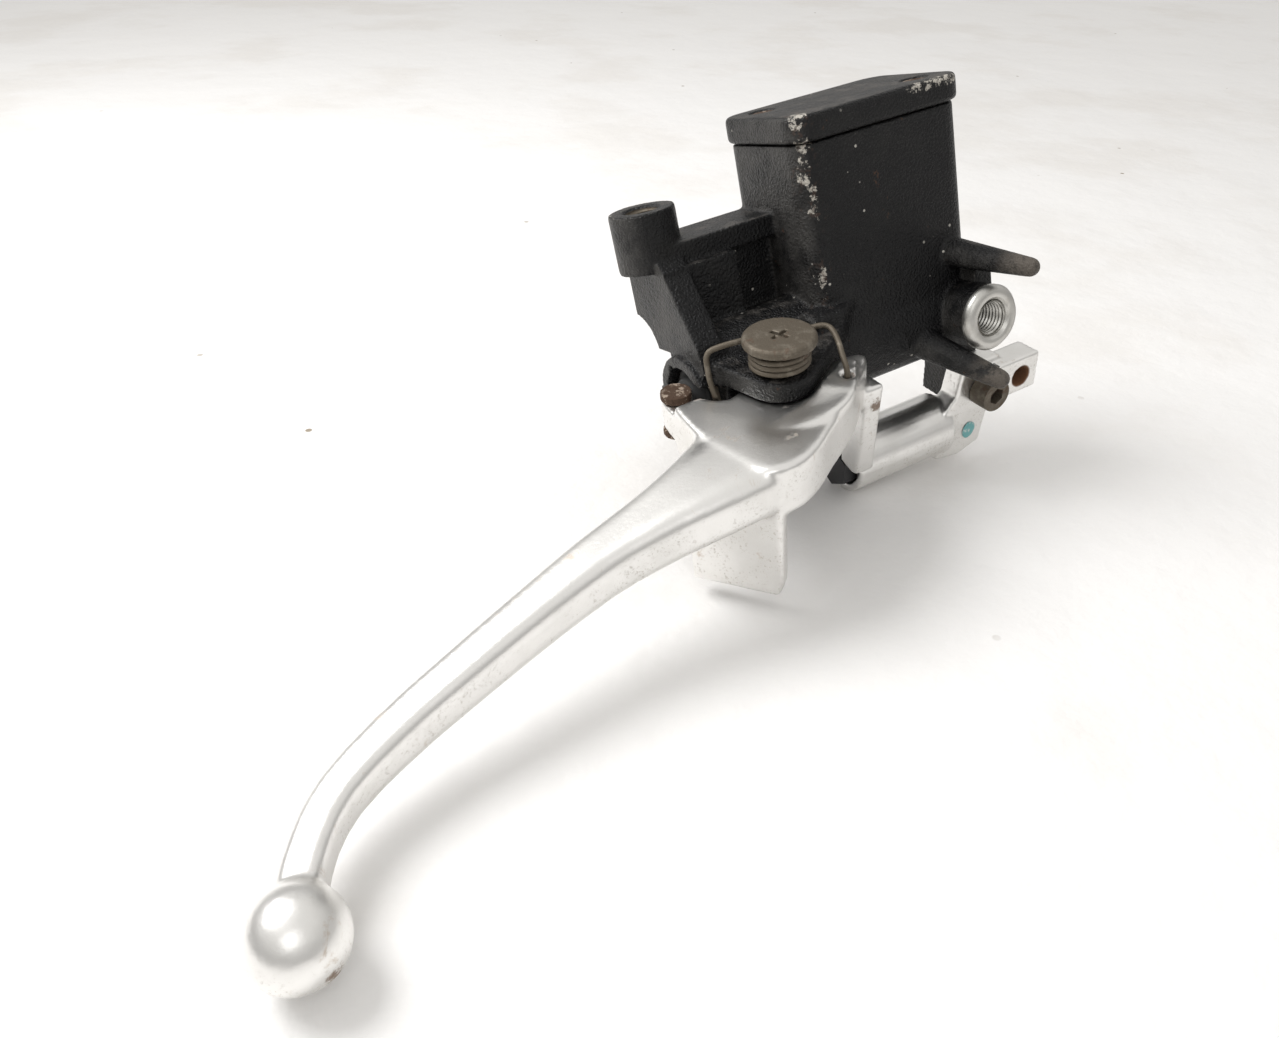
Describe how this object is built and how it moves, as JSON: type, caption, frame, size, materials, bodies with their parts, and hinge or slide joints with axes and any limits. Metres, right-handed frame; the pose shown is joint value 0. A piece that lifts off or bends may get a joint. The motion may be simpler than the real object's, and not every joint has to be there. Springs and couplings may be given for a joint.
{
  "type": "brake master cylinder",
  "caption": "Handlebar brake master cylinder with a square reservoir, a ball-ended lever on a pivot bolt, a mirror boss, a threaded outlet and a brake light switch on a bracket.",
  "frame": {"origin": "middle of the handlebar axis inside the clamp saddle", "axes": "+X along the handlebar and the bore, away from the ball end of the lever; -Y to the lever side; +Z out through the reservoir lid"},
  "size_m": [0.2601, 0.1254, 0.1138],
  "materials": {
    "body_paint": "worn satin black paint on a cast body",
    "bare_aluminium": "polished cast aluminium with stains",
    "aged_steel": "dull oxidised steel",
    "rusty_steel": "rusted steel",
    "bright_steel": "clean machined steel",
    "rubber": "black brake rubber",
    "black_plastic": "moulded black plastic",
    "white_plastic": "off-white plastic",
    "window_glass": "clear window with a fluid tint"
  },
  "bodies": {
    "master_cylinder": {"master_cylinder_body": "body_paint", "reservoir_lid": "body_paint", "lid_screw_left": "rusty_steel", "lid_screw_right": "rusty_steel", "diaphragm_plate": "black_plastic", "reservoir_diaphragm": "rubber", "feed_hole_baffle": "bright_steel", "sight_glass": "window_glass", "pivot_bolt": "aged_steel", "pivot_nut": "aged_steel", "lever_return_spring": "aged_steel", "piston_return_spring": "bright_steel", "piston_washer": "aged_steel", "circlip": "aged_steel", "dust_boot": "rubber", "switch_bracket": "bare_aluminium", "bracket_screw": "aged_steel", "brake_light_switch": "black_plastic"},
    "brake_lever": {"lever": "bare_aluminium", "push_pin": "rusty_steel", "pivot_bush": "bright_steel"},
    "piston_set": {"piston": "bright_steel", "primary_cup": "rubber", "secondary_cup": "rubber"},
    "switch_button": {"switch_plunger": "white_plastic"}
  },
  "joints": [
    {"name": "lever_pivot", "type": "hinge", "parent": "master_cylinder", "child": "brake_lever", "pos_m": [0.003, -0.05, 0.009], "axis": [0, 0.225, -0.9744], "range_deg": [0, 14], "stiffness_Nm_per_rad": 0.8, "springref_deg": -20.05, "deforming": ["lever_return_spring"]},
    {"name": "piston_slide", "type": "slide", "parent": "master_cylinder", "child": "piston_set", "axis": [1, 0, 0], "range_m": [0, 0.005], "deforming": ["piston_return_spring", "dust_boot"]},
    {"name": "switch_plunger_slide", "type": "slide", "parent": "master_cylinder", "child": "switch_button", "axis": [0, -0.9744, -0.225], "range_m": [0, 0.0019]}
  ],
  "couplings": [
    {"joint": "piston_slide", "follows": "lever_pivot", "m_per_rad": 0.0204},
    {"joint": "switch_plunger_slide", "follows": "lever_pivot", "m_per_rad": 0.00764}
  ]
}
